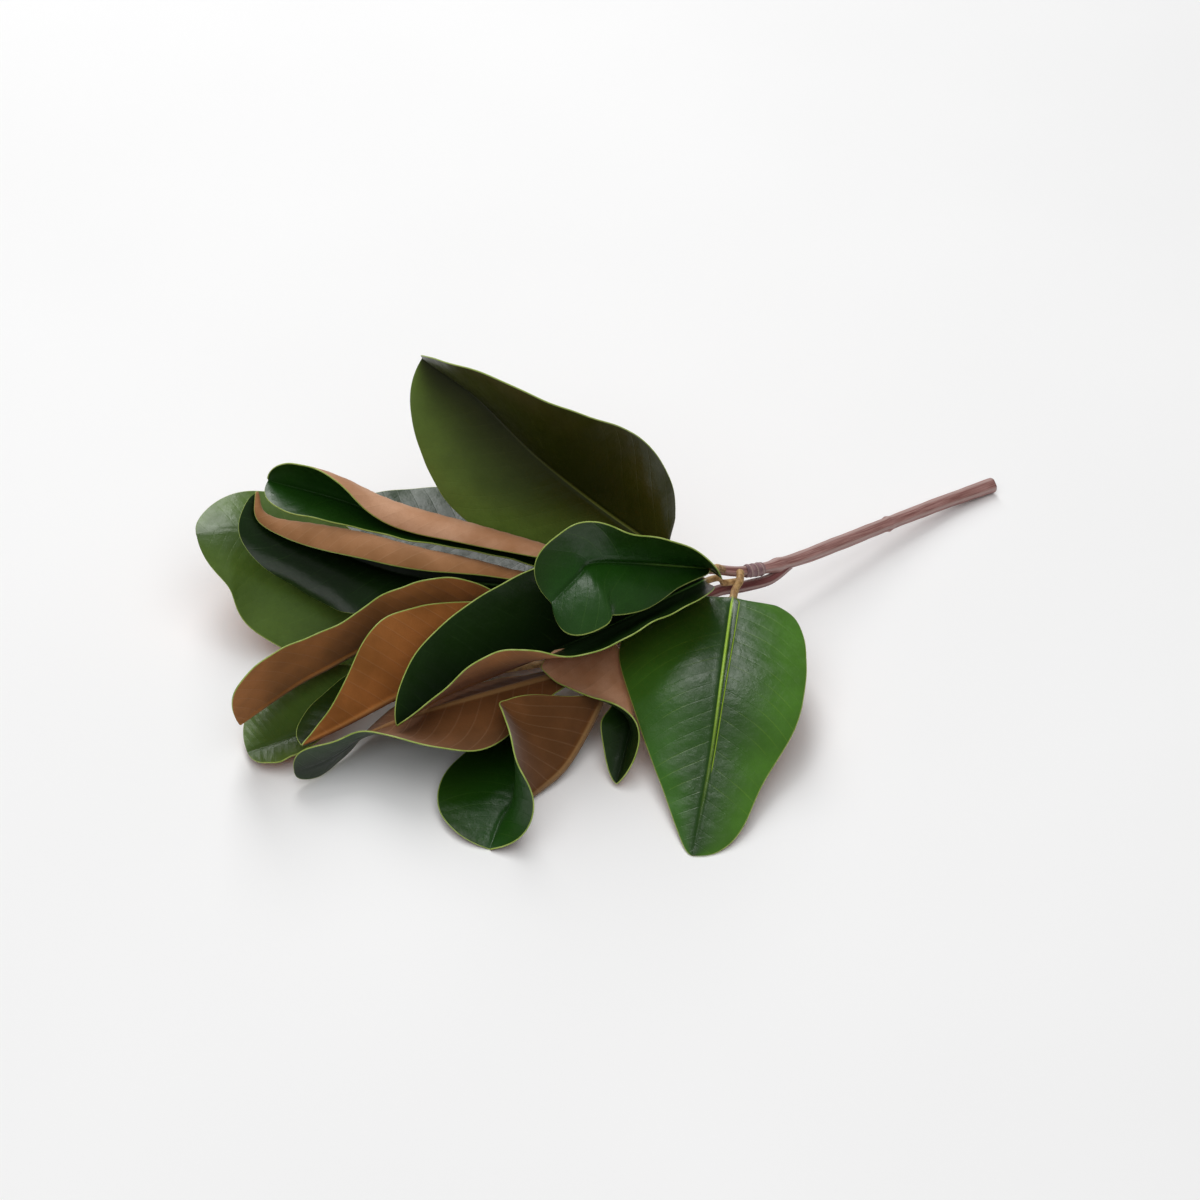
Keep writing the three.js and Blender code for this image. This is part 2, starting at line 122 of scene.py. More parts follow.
def spline(knots: Array, t: Array) -> Array:
    """The uniform Catmull-Rom curve through the knots, with its ends carried straight on.

    Between two knots it is the cubic whose slopes there are half the difference of the neighbours.

    Args:
        knots: one row for each knot.
        t: places from 0 to 1, in equal steps of knots.

    Returns:
        One row for each place.
    """
    padded = np.vstack([2 * knots[0] - knots[1], knots, 2 * knots[-1] - knots[-2]])
    place = np.clip(t, 0, 1) * (len(knots) - 1)
    first = np.minimum(place.astype(int), len(knots) - 2)
    x = (place - first)[:, None]
    a, b, c, d = (padded[first + i] for i in range(4))
    slope_b, slope_c = (c - a) / 2, (d - b) / 2
    square, cube = 3 * (c - b) - 2 * slope_b - slope_c, 2 * (b - c) + slope_b + slope_c
    return b + slope_b * x + square * x**2 + cube * x**3


def evened(values: Numbers, t: Array) -> Array:
    """A list of numbers in equal steps, read at t from 0 to 1 as a spline, or a single number everywhere."""
    knots = np.array(values * 2 if len(values) == 1 else values, float)
    return spline(knots[:, None], t)[:, 0]


def bunched(count: int, share: float) -> Array:
    """Places from 0 to 1, closer at both ends: a share of (1 - cos πk) / 2, and for the rest k itself."""
    k = np.linspace(0, 1, count + 1)
    return share / 2 * (1 - np.cos(np.pi * k)) + (1 - share) * k


@dataclass
class SmoothPath:
    """A smooth curve through points, read by the share of its length.

    Args:
        points: the points it passes through, in millimetres.
    """

    points: list[Point]

    def __post_init__(self) -> None:
        """Measures the curve once, in many short straight steps."""
        self.knots = np.array(self.points, float)
        self.places = np.linspace(0, 1, ARC_SAMPLES + 1)
        steps = np.linalg.norm(np.diff(spline(self.knots, self.places), axis=0), axis=1)
        self.lengths = np.concatenate([[0], np.cumsum(steps)])
        self.length = float(self.lengths[-1])

    def share_at(self, place: float) -> float:
        """The share of the length that is passed at a place between the knots."""
        return float(np.interp(place, self.places, self.lengths) / self.length)

    def at(self, share: Array) -> tuple[Array, Array]:
        """Where the curve is and which way it goes.

        Args:
            share: shares of the length, from 0 to 1.

        Returns:
            The points and the unit tangents there.
        """
        place = np.interp(share * self.length, self.lengths, self.places)
        ahead = spline(self.knots, np.minimum(place + TANGENT_STEP, 1))
        behind = spline(self.knots, np.maximum(place - TANGENT_STEP, 0))
        return spline(self.knots, place), unit(ahead - behind)


def across_frame(tangent: Array, roll_degrees: Array) -> tuple[Array, Array]:
    """The directions across a path: side, level and to the right of travel, and up, square to both.

    Args:
        tangent: unit tangents, one row for each place.
        roll_degrees: how far each place is turned about its tangent.

    Returns:
        The side and up directions.
    """
    level = unit(np.cross(tangent, UP))
    roll = np.radians(roll_degrees)[:, None]
    side = level * np.cos(roll) - np.cross(tangent, level) * np.sin(roll)
    return side, np.cross(side, tangent)


def normals(points: Array) -> Array:
    """Unit normals of a grid of points, square to its differences across and along."""
    return unit(np.cross(np.gradient(points, axis=1), np.gradient(points, axis=0)))


def tube(middle: SmoothPath, share: Array, radii: Array) -> Array:
    """Rings of points round a path, each point at its own radius and the angles of a ring in equal steps.

    Args:
        middle: the path.
        share: where the rings stand on it, as shares of its length.
        radii: a row of radii for each ring.

    Returns:
        A row of points for each ring.
    """
    centre, tangent = middle.at(share)
    side, up = across_frame(tangent, np.zeros(len(share)))
    turn = ring_angles(radii.shape[1])
    out, rise = radii * np.cos(turn), radii * np.sin(turn)
    return centre[:, None] + out[..., None] * side[:, None] + rise[..., None] * up[:, None]


def ring_angles(sides: int) -> Array:
    """The angles of a ring's points, in equal steps from the side."""
    return 2 * np.pi * np.arange(sides) / sides


def ring_faces(rows: int, columns: int) -> Array:
    """Quads between rings of points that follow one another, each ring's last point joined to its first.

    Args:
        rows: how many rings.
        columns: points in a ring.

    Returns:
        Four point numbers for each quad.
    """
    i, j = np.meshgrid(np.arange(rows - 1), np.arange(columns), indexing="ij")
    k = (j + 1) % columns
    near, far = i * columns, (i + 1) * columns
    return np.stack([near + j, near + k, far + k, far + j], axis=-1).reshape(-1, 4)


def piece_from(
    name: str,
    points: Array,
    faces: list[tuple[int, ...]],
    materials: list[bpy.types.Material],
    material_of_face: Array,
    attributes: dict[str, Array],
) -> bpy.types.Object:
    """Puts whole arrays of points and faces into a smooth mesh, kept inside the part's own box.

    Args:
        name: the piece's name.
        points: points of the layout frame, in millimetres.
        faces: the faces' point numbers.
        materials: the piece's material slots.
        material_of_face: the slot of each face.
        attributes: one number for each point, by the name that the materials read.

    Returns:
        The new object, at the origin.
    """
    mesh = bpy.data.meshes.new(name)
    mesh.from_pydata(np.clip(to_packed(points), *CAD_BOX), [], faces)
    for material in materials:
        mesh.materials.append(material)
    mesh.polygons.foreach_set("material_index", material_of_face.astype(np.int32))
    mesh.polygons.foreach_set("use_smooth", np.ones(len(faces), bool))
    for label, values in attributes.items():
        layer = mesh.attributes.new(label, "FLOAT", "POINT")
        layer.data.foreach_set("value", values.astype(np.float32).ravel())
    mesh.update()
    piece = bpy.data.objects.new(name, mesh)
    bpy.context.scene.collection.objects.link(piece)
    return piece


def add_node(tree: bpy.types.NodeTree, kind: str, settings: dict, links: dict) -> bpy.types.Node:
    """Adds one shader node with its settings and its inputs.

    Args:
        tree: the material's or the world's node tree.
        kind: the node's type, without the word ShaderNode.
        settings: properties of the node.
        links: by input name or number, the output socket that feeds it or the value that it keeps.

    Returns:
        The new node.
    """
    node = tree.nodes.new("ShaderNode" + kind)
    for key, value in settings.items():
        setattr(node, key, value)
    for key, value in links.items():
        if isinstance(value, Socket):
            tree.links.new(value, node.inputs[key])
        else:
            node.inputs[key].default_value = value
    return node


@dataclass(frozen=True)
class Finish:
    """Anything that can make a material, which all the pieces that wear it then share.

    Args:
        name: the material's name.
    """

    name: str

    def material(self) -> bpy.types.Material:
        """Builds the material; each finish has its own way."""
        raise NotImplementedError

    def material_once(self) -> bpy.types.Material:
        """The finish's material, built the first time it is asked for."""
        return bpy.data.materials.get(self.name) or self.material()


class Shading:
    """A material's node tree, with the few combinations that every finish here uses."""

    def __init__(self, name: str) -> None:
        """Starts an empty material.

        Args:
            name: the material's name.
        """
        self.material = bpy.data.materials.new(name)
        self.material.use_nodes = True
        self.tree = self.material.node_tree
        self.tree.nodes.clear()

    def read(self, attribute: str) -> Socket:
        """The number that the piece's points carry under this name."""
        return add_node(self.tree, "Attribute", {"attribute_name": attribute}, {}).outputs["Fac"]

    def place(self) -> Socket:
        """The place on the piece, in metres."""
        return add_node(self.tree, "TexCoord", {}, {}).outputs["Object"]

    def noise(self, size_mm: float, detail: float = 3, rough: float = 0.55) -> Socket:
        """Soft mottling from 0 to 1, of features about size_mm across and as many finer layers as detail."""
        links = {"Vector": self.place(), "Scale": 1 / (size_mm * MM), "Detail": detail, "Roughness": rough}
        return add_node(self.tree, "TexNoise", {}, links).outputs[0]

    def mottle(self, size_mm: float, first: str, second: str) -> Socket:
        """Clouds about size_mm across that go from one hex colour to the other."""
        return self.mix(self.ramp(self.noise(size_mm), 0.3, 0.7), first, second)

    def times(self, first: float | Socket, second: float | Socket) -> Socket:
        """The product of two values."""
        return self.math("MULTIPLY", first, second)

    def math(self, operation: str, *values: float | Socket) -> Socket:
        """One sum or function of one to three values."""
        return add_node(self.tree, "Math", {"operation": operation}, dict(enumerate(values))).outputs[0]

    def ramp(self, value: Socket, low: float, high: float, start: float = 0, end: float = 1) -> Socket:
        """A smooth step, from the start value where what is read is at low to the end value at high."""
        links = {"Value": value, "From Min": low, "From Max": high, "To Min": start, "To Max": end}
        return add_node(self.tree, "MapRange", {"interpolation_type": "SMOOTHSTEP"}, links).outputs[0]

    def mix(self, share: float | Socket, first: str | Socket, second: str | Socket) -> Socket:
        """Blends two colours, each a socket or a hex colour, at this share of the second."""
        first, second = (linear(c) if isinstance(c, str) else c for c in (first, second))
        return add_node(self.tree, "Mix", {"data_type": "RGBA"}, {0: share, 6: first, 7: second}).outputs[2]

    def bump(self, height: Socket, depth_mm: float, under: Socket | None = None) -> Socket:
        """Relief of a height from 0 to 1 that stands depth_mm proud.

        Args:
            height: the height.
            depth_mm: how far the top of it stands out.
            under: the relief that it lies on.

        Returns:
            The bent normal.
        """
        links = {"Height": height, "Distance": depth_mm * MM, "Strength": 1.0}
        if under is not None:
            links["Normal"] = under
        return add_node(self.tree, "Bump", {}, links).outputs["Normal"]

    def finish(self, links: dict) -> bpy.types.Material:
        """Closes the material with one principled shader.

        Args:
            links: the shader's inputs.

        Returns:
            The finished material.
        """
        shader = add_node(self.tree, "BsdfPrincipled", {}, links)
        add_node(self.tree, "OutputMaterial", {}, {"Surface": shader.outputs[0]})
        return self.material


def with_stalk(s: Shading, blade: Socket) -> tuple[Socket, Socket]:
    """The colour of a leaf, which is the blade's with a tan petiole, and where the petiole is."""
    stalk = s.ramp(s.read("along"), *STALK_EDGE)
    return s.mix(stalk, blade, s.mottle(2.5, "8c6840", "c09c68")), stalk


def vein_line(s: Shading, half_width: float) -> Socket:
    """A line wherever the vein count passes a half: 1 on it, 0 beyond half_width of the spacing."""
    away = s.math("ABSOLUTE", s.math("SUBTRACT", s.math("FRACT", s.read("vein_count")), 0.5))
    return s.ramp(away, half_width, 0.0)


@dataclass(frozen=True)
class LacqueredLeafFace(Finish):
    """Upper face of a moulded polyethylene leaf, printed green and lacquered.

    To the eye that is a deep green under a smooth gloss, with pale veins that hardly stand out, a
    yellow-green midrib, and a thin bare line of lighter plastic along the margin.

    Args:
        left: the green at the left margin.
        middle: the green along the middle.
        right: the green at the right margin.
        midrib: the colour along the midrib.
        midrib_end: the share of the blade at which the midrib's colour has faded.
        dent_end: the share at which the dent beside the midrib closes; 0 leaves it out.
    """

    left: str
    middle: str
    right: str
    midrib: str
    midrib_end: float
    dent_end: float = 0.0

    def material(self) -> bpy.types.Material:
        """Builds the shader of the upper face.

        Returns:
            The material.
        """
        s = Shading(self.name)
        along, across, midrib_mm = s.read("along"), s.read("across"), s.read("midrib_mm")
        # 30 mm clouds in the print, and 3 mm mottling inside them
        clouds = s.ramp(s.noise(30, 2), 0.3, 0.7)
        mottle = s.ramp(s.noise(3, 4, 0.7), 0.35, 0.7)
        green = s.mix(s.ramp(across, -0.95, -0.05), self.left, self.middle)
        green = s.mix(s.ramp(across, 0.05, 0.95), green, self.right)
        dark = s.mix(0.35, green, "041002")
        green = s.mix(s.times(clouds, 0.7), green, dark)
        green = s.mix(s.times(mottle, 0.3), green, dark)
        veins = vein_line(s, 0.06)
        # the veins come and go in 20 mm patches, and start a little way out from the midrib
        faded = s.times(s.ramp(s.noise(20, 1), 0.4, 0.62), s.ramp(midrib_mm, 1.0, 6.0))
        green = s.mix(s.times(s.times(veins, faded), 0.07), green, self.midrib)
        shadow = s.ramp(midrib_mm, 4.5, 0.6)
        green = s.mix(s.times(shadow, 0.5), green, dark)
        rib = s.times(s.ramp(midrib_mm, 1.1, 0.45), s.ramp(along, self.midrib_end, 0.12))
        green = s.mix(s.times(rib, 0.85), green, self.midrib)
        if self.dent_end:
            inside, outline = self.dent(s)
            # painted shade inside the dent beside the midrib, and its outline drawn in the midrib's
            # yellow-green
            green = s.mix(s.times(inside, 0.45), green, dark)
            green = s.mix(s.times(outline, 0.6), green, self.midrib)
        green = s.mix(s.ramp(s.read("margin_mm"), *MARGIN_LINE), green, "8fa24e")
        colour, stalk = with_stalk(s, green)
        gloss = s.math("ADD", s.ramp(s.noise(9, 3), 0.3, 0.7, 0.29, 0.4), s.times(stalk, 0.25))
        # the moulded skin: 5 mm puckers, 0.8 mm leather grain, and veins pressed in by 0.04 mm
        normal = s.bump(s.noise(5, 3), 0.28)
        normal = s.bump(s.noise(0.8, 2), 0.03, normal)
        normal = s.bump(s.math("SUBTRACT", 1.0, veins), 0.04, normal)
        if self.dent_end:
            normal = s.bump(s.math("SUBTRACT", outline, inside), 0.35, normal)
        return s.finish({"Base Color": colour, "Roughness": gloss, "Normal": normal, "IOR": 1.49})

    def dent(self, s: Shading) -> tuple[Socket, Socket]:
        """The dent that the mould left beside the midrib, on its left, narrowing and closing like a hairpin.

        Args:
            s: the material's shading.

        Returns:
            Where its inside is, and where its outline is, each from 0 to 1.
        """
        along = s.read("along")
        # 1.6 mm from the midrib to its outline where it closes, and 4.2 mm at its open end
        width = s.math("ADD", 1.6, s.times(s.ramp(along, self.dent_end, 0.05), 2.6))
        beyond = s.math("SUBTRACT", s.read("midrib_mm"), width)
        ends = s.ramp(along, self.dent_end, self.dent_end - 0.03)
        here = s.times(s.ramp(s.read("across"), -0.004, -0.012), ends)
        inside = s.times(here, s.ramp(beyond, 0.2, -0.5))
        outline = s.times(here, s.ramp(s.math("ABSOLUTE", beyond), 0.55, 0.1))
        return inside, outline


@dataclass(frozen=True)
class FlockedUnderside(Finish):
    """Underside of the leaf, printed brown and flocked to a matte felt like a magnolia's own.

    To the eye that is a soft tan that never shines, with veins a shade lighter and a green rim.

    Args:
        dark: the darker brown.
        light: the lighter brown.
    """

    dark: str
    light: str

    def material(self) -> bpy.types.Material:
        """Builds the shader of the underside.

        Returns:
            The material.
        """
        s = Shading(self.name)
        brown = s.mottle(26, self.dark, self.light)
        # the flock lies in tufts of about 0.9 mm
        tufts = s.noise(0.9, 3, 0.6)
        brown = s.mix(s.times(s.ramp(tufts, 0.35, 0.7), 0.22), brown, self.dark)
        veins = vein_line(s, 0.08)
        brown = s.mix(s.times(veins, 0.1), brown, "c09a76")
        rib = s.times(s.ramp(s.read("midrib_mm"), 1.8, 0.6), s.ramp(s.read("along"), 1.1, 0.4))
        brown = s.mix(s.times(rib, 0.5), brown, "b08a58")
        brown = s.mix(s.ramp(s.read("margin_mm"), *MARGIN_LINE), brown, "9aa04e")
        colour, _ = with_stalk(s, brown)
        normal = s.bump(s.noise(7, 3), 0.25)
        normal = s.bump(tufts, 0.05, normal)
        normal = s.bump(veins, 0.08, normal)
        return s.finish({"Base Color": colour, "Roughness": 0.78, "Normal": normal, "IOR": 1.45,
                         "Sheen Weight": 0.12, "Sheen Roughness": 0.5})


@dataclass(frozen=True)
class CutRim(Finish):
    """Cut edge of the moulded sheet, where the plastic's own yellow-green shows as a fine light line."""

    def material(self) -> bpy.types.Material:
        """Builds the shader of the rim.

        Returns:
            The material.
        """
        s = Shading(self.name)
        colour, _ = with_stalk(s, s.mottle(6, "8ba344", "a9ba62"))
        return s.finish({"Base Color": colour, "Roughness": 0.45, "IOR": 1.49})


@dataclass(frozen=True)
class ReddishBark(Finish):
    """Bark of the stem: extruded plastic with a flexible mauve-brown skin, with a painted highlight paler
    along its ridges.

    To the eye that is a dull reddish brown with long streaks and a satin top edge, whose pale highlight is
    painted.

    Args:
        dark: the colour of the darker streaks.
        light: the colour of the lighter ones.
    """

    dark: str
    light: str

    def material(self) -> bpy.types.Material:
        """Builds the shader of the bark.

        Returns:
            The material.
        """
        s = Shading(self.name)
        streak_place = add_node(s.tree, "CombineXYZ", {}, {
            "X": s.times(s.read("along_mm"), 0.03),
            "Y": s.times(s.read("turn"), 4.0)}).outputs[0]
        streaks = add_node(s.tree, "TexNoise", {}, {
            "Vector": streak_place, "Scale": 1.6, "Detail": 4.0, "Roughness": 0.6}).outputs["Fac"]
        base = s.mix(s.ramp(streaks, 0.32, 0.68), self.dark, self.light)
        base = s.mix(s.times(s.ramp(s.noise(14), 0.35, 0.7), 0.3), base, self.dark)
        # painted highlight: the ridges beside the groove are mixed towards a pale mauve
        base = s.mix(s.times(s.ramp(s.read("ridge_highlight"), 0.2, 1.0), 0.6), base, "b8a09a")
        colour = s.mix(s.times(s.read("cut"), 0.8), base, "6b4a40")
        normal = s.bump(streaks, 0.25)
        normal = s.bump(s.noise(1.2, 3), 0.06, normal)
        gloss = s.ramp(streaks, 0.3, 0.7, 0.38, 0.55)
        return s.finish({"Base Color": colour, "Roughness": gloss, "Normal": normal, "IOR": 1.47})


@dataclass(frozen=True)
class StretchedTape(Finish):
    """Florist's paper tape, waxed and stretched as it is wound, with a paler edge at every turn."""

    def material(self) -> bpy.types.Material:
        """Builds the shader of the tape.

        Returns:
            The material.
        """
        s = Shading(self.name)
        crepe = s.noise(0.9, 3, 0.6)
        colour = s.mottle(5, "6c5054", "9a7a7c")
        colour = s.mix(s.times(s.ramp(s.read("wrap_edge"), 0.55, 1.0), 0.7), colour, "bca49a")
        colour = s.mix(s.times(s.ramp(crepe, 0.4, 0.65), 0.25), colour, "5a4046")
        normal = s.bump(crepe, 0.12)
        return s.finish({"Base Color": colour, "Roughness": 0.52, "Normal": normal, "IOR": 1.45})


class Green(Enum):
    """The leaves' green, one finish each: partly the print's own tones, partly lit and shaded copies whose
    left, middle and right greens paint light and shade across each leaf.
    """

    OLIVE = LacqueredLeafFace("lacquered_leaf_olive", "677f35", "2f350b", "343806", "676e2d", 0.8)
    MID = LacqueredLeafFace("lacquered_leaf_green", "204511", "1e480f", "203f0c", "6a9339", 0.5)
    DEEP = LacqueredLeafFace("lacquered_leaf_deep", "19320e", "12240a", "1f3810", "578339", 0.5)
    LIGHT = LacqueredLeafFace("lacquered_leaf_light", "567029", "466223", "5a7532", "80a446", 0.6)
    BRIGHT = LacqueredLeafFace("lacquered_leaf_bright", "46741e", "24480f", "3c6c20", "b4dc48", 0.95, 0.72)


class Brown(Enum):
    """The one flocked brown in lit and shaded copies, one finish each, lighter or darker by the light and
    shade that fall on each leaf's underside.
    """

    # painted light: a lighter copy of the brown for undersides turned to the light
    LIT_PINKISH = FlockedUnderside("flocked_underside_lit_pink", "aa7852", "c89a7a")
    ORANGE = FlockedUnderside("flocked_underside_orange", "98602a", "b47238")
    # painted shade: a darker copy of the brown for undersides in shade
    SHADED_UMBER = FlockedUnderside("flocked_underside_shaded_umber", "5e3a18", "724824")
    TAN = FlockedUnderside("flocked_underside_tan", "8a5e36", "a2724a")


RIM = CutRim("cut_polyethylene_rim")
STALK_BARK = ReddishBark("reddish_stem_bark", "7e524b", "b38a84")
SHOOT_BARK = ReddishBark("dark_shoot_bark", "5c2e2e", "8a5654")
TAPE = StretchedTape("waxed_florist_tape")


@dataclass
class HalfBlade:
    """One half of a blade, from the midrib to its margin. The lists run from base to tip in equal steps.

    Args:
        fold: the angle in degrees at which it leaves the midrib.
        span: its width as a share of half the leaf's width.
        curl: how far it turns, in degrees, on the way to its margin.
        sweep: how far its margin lies towards the tip, as a share of its width.
    """

    fold: Numbers
    span: Numbers
    curl: Numbers = (0.0,)
    sweep: Numbers = (0.0,)

    def section(self, along: Array, reach: Array, share: Array) -> tuple[Array, ...]:
        """The half as an arc that leaves at the fold angle and has turned by the curl angle at its end.

        With length reach × span and turning evenly, the point at share s lies out by the arc's radius
        times the gain in sine, and up by its radius times the loss in cosine.

        Args:
            along: places along the blade, from 0 to 1.
            reach: half the outline's width there.
            share: shares of the way to the margin.

        Returns:
            Grids of the distance out, up and towards the tip, and the length of each row.
        """
        fold = np.radians(evened(self.fold, along))[:, None]
        curl = np.radians(evened(self.curl, along))[:, None]
        curl = np.where(np.abs(curl) < LEAST_CURL, LEAST_CURL, curl)
        length = (reach * evened(self.span, along))[:, None]
        s = share[None, :]
        out = length / curl * (np.sin(fold + curl * s) - np.sin(fold))
        rise = length / curl * (np.cos(fold) - np.cos(fold + curl * s))
        forward = evened(self.sweep, along)[:, None] * length * s
        return out, rise, forward, length[:, 0]


@dataclass
class PointPlaces:
    """What every point of a leaf's grid carries about its place, under the names that the materials read.

    Args:
        along: its place along the blade, negative on the petiole.
        across: its share of the way to the margin, negative on the left.
        midrib_mm: its distance from the midrib.
        margin_mm: its distance from the margin.
        vein_count: the number of lateral veins passed, which is at a half on every vein.
    """

    along: Array
    across: Array
    midrib_mm: Array
    margin_mm: Array
    vein_count: Array | None = None


@dataclass
class MagnoliaLeaf:
    """One leaf: a blade swept along its midrib, with its petiole, as a closed sheet with a soft rim.

    Args:
        node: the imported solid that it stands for.
        petiole: points of the stalk, from the shoot on.
        midrib: points of the midrib, from base to tip.
        width: the widest part of the flat blade.
        left: the half to the left of travel.
        right: the other half.
        roll: how far the blade is turned about its midrib, in degrees.
        outline: the powers that shape the flat outline at the base and at the tip.
        green: finish of the upper face.
        brown: finish of the underside.
        seed: number that its small waves are drawn from.
        thickness: thickness of the sheet.
        petiole_radius: radius of the round stalk.
        ridge_at_base: how far the midrib's ridge stands out below at the base.
        ridge_at_tip: how far it does at the tip.
        rows: steps of the grid along the blade.
        petiole_rows: steps along the petiole.
        columns: steps from the midrib to a margin.
        steady: the share of the path over which the direction of travel is evened out.
    """

    node: str
    petiole: list[Point]
    midrib: list[Point]
    width: float
    left: HalfBlade
    right: HalfBlade
    roll: Numbers = (0.0,)
    outline: tuple[float, float] = (0.5, 0.45)
    green: Green = Green.DEEP
    brown: Brown = Brown.ORANGE
    seed: int = 1
    thickness: float = 0.8
    petiole_radius: float = 2.0
    ridge_at_base: float = 1.8
    ridge_at_tip: float = 0.3
    rows: int = 120
    petiole_rows: int = 14
    columns: int = 21
    steady: float = 0.08

    def stations(self) -> tuple[Array, Array]:
        """Where the rows stand: evenly on the petiole, and closer towards both ends of the blade.

        Returns:
            Places along the blade, negative on the petiole, and shares of the whole curve.
        """
        joint = self.path.share_at(len(self.petiole) / (len(self.petiole) + len(self.midrib) - 1))
        stalk = np.linspace(0, 1, self.petiole_rows + 1)[:-1]
        blade = np.clip(bunched(self.rows, ROW_BUNCHING), 0, 1)
        along = np.concatenate([(1 - stalk) * PETIOLE_START, blade])
        share = np.concatenate([stalk * joint, joint + (1 - joint) * blade])
        return along, share

    def shares(self) -> Array:
        """Shares of the way from midrib to margin at which the columns stand, closer at both ends."""
        return bunched(self.columns, COLUMN_BUNCHING)[1:]

    def half_width(self, along: Array) -> Array:
        """Half the outline's width: the base power of the way along times the tip power of what is left.

        Args:
            along: places along the blade.

        Returns:
            Half the width at each.
        """
        base, tip = self.outline
        widest = base / (base + tip)
        u = np.clip(along, *OFF_ENDS)
        return self.width / 2 * u**base * (1 - u) ** tip / (widest**base * (1 - widest) ** tip)

    def build(self) -> bpy.types.Object:
        """Works out the sheet and its numbers as whole grids and puts them into one closed mesh.

        Returns:
            The leaf, riding on the branch in its solid's place.
        """
        self.path = SmoothPath([*self.petiole, *self.midrib])
        along, share = self.stations()
        centre, tangent = self.path.at(share)
        tangent = self.steadied(tangent, share)
        blade = np.maximum(along, 0)
        side, up = across_frame(tangent, evened(self.roll, blade))
        reach, shares = self.half_width(blade), self.shares()
        grids, lengths = [], []
        for half, sign in ((self.left, -1), (self.right, 1)):
            out, rise, forward, length = half.section(blade, reach, shares)
            grids.append(centre[:, None] + sign * out[..., None] * side[:, None]
                         + rise[..., None] * up[:, None] + forward[..., None] * tangent[:, None])
            lengths.append(length)
        upper = np.concatenate([grids[0][:, ::-1], centre[:, None], grids[1]], axis=1)
        signed = np.concatenate([-shares[::-1], [0.0], shares])
        across, stations = np.broadcast_arrays(signed, along[:, None])
        length = np.where(across < 0, lengths[0][:, None], lengths[1][:, None])
        at = PointPlaces(stations, across, np.abs(across) * length, (1 - np.abs(across)) * length)
        at.vein_count = self.vein_count(at)
        upper = upper + normals(upper) * self.relief(at)[..., None]
        lower = upper - normals(upper) * self.depth(at)[..., None]
        upper, lower = self.with_petiole(upper, lower, along, centre, side, up)
        return self.sheet(upper, lower, vars(at))

    def steadied(self, tangent: Array, share: Array) -> Array:
        """Each tangent as a mean of all, weighted by a bell, so that the rows never cross at a bend."""
        weight = np.exp(-(((share[:, None] - share[None]) / self.steady) ** 2)) * np.gradient(share)[None]
        return unit(weight @ tangent)

    def vein_count(self, at: PointPlaces) -> Array:
        """Counts the lateral veins, which leave the midrib at about 60 degrees and bend towards the tip.

        A vein that starts at a passes distance d at a + 0.6 d + 0.006 d², give or take a slow wave. The
        count is that start over the spacing, the right half is set off by half a space, and the 20 keeps
        it above nothing.

        Args:
            at: the points' places.

        Returns:
            The count at each.
        """
        along, across = np.maximum(at.along, 0) * self.path.length, at.midrib_mm
        drift = 1.6 * np.sin(along / 17 + self.seed) + 1.2 * np.sin(across / 9 + 2.1 * self.seed)
        start = along - VEIN_SLANT * across - VEIN_BEND * across**2 + drift
        return start / VEIN_SPACING + 0.5 * (at.across > 0) + 20

    def relief(self, at: PointPlaces) -> Array:
        """How far the upper face stands off the plain sweep: a groove, pillows and waves.

        The groove is a bell 1.8 mm wide down the midrib between two low banks, the pillows swell between
        the veins as one plus the cosine of the count, and three sines wave the margin.

        Args:
            at: the points' places.

        Returns:
            Their heights in millimetres.
        """
        on_blade = smooth(0.0, 0.12, at.along) * smooth(1.0, 0.9, at.along)
        bank = BANK_HEIGHT * np.exp(-(((at.midrib_mm - BANK_PLACE) / BANK_SPREAD) ** 2))
        groove = bank - GROOVE_DEPTH * np.exp(-((at.midrib_mm / GROOVE_SPREAD) ** 2))
        swell = PILLOW_HEIGHT * (1 + np.cos(2 * np.pi * at.vein_count))
        pillow = swell * smooth(2, 9, at.midrib_mm) * smooth(0, 5, at.margin_mm)
        phases = np.random.default_rng(self.seed).uniform(0, 2 * np.pi, (3, 2))
        right = (at.across > 0).astype(int)
        travelled = at.along * self.path.length
        ripple = sum(np.sin(travelled / size + phase[right]) for size, phase in zip(WAVE_SIZES, phases)) / 3
        wave = WAVE_HEIGHT * ripple * smooth(0.35, 1.0, np.abs(at.across)) * smooth(0, 10, at.midrib_mm)
        return (groove * (1 - GROOVE_FADES * at.along) + pillow + wave) * on_blade

    def depth(self, at: PointPlaces) -> Array:
        """How thick the sheet is: its own wall, the round ridge of the midrib below, and raised veins.

        Args:
            at: the points' places.

        Returns:
            The thicknesses in millimetres.
        """
        u = np.maximum(at.along, 0)
        ridge = self.ridge_at_base + (self.ridge_at_tip - self.ridge_at_base) * u
        ridge = ridge * np.exp(-((at.midrib_mm / (RIDGE_SPREAD - RIDGE_NARROWS * u)) ** 2))
        raised = VEIN_HEIGHT * (0.5 - 0.5 * np.cos(2 * np.pi * at.vein_count)) ** 6
        return self.thickness + ridge + raised * smooth(1, 4, at.midrib_mm) * smooth(0, 8, at.margin_mm)

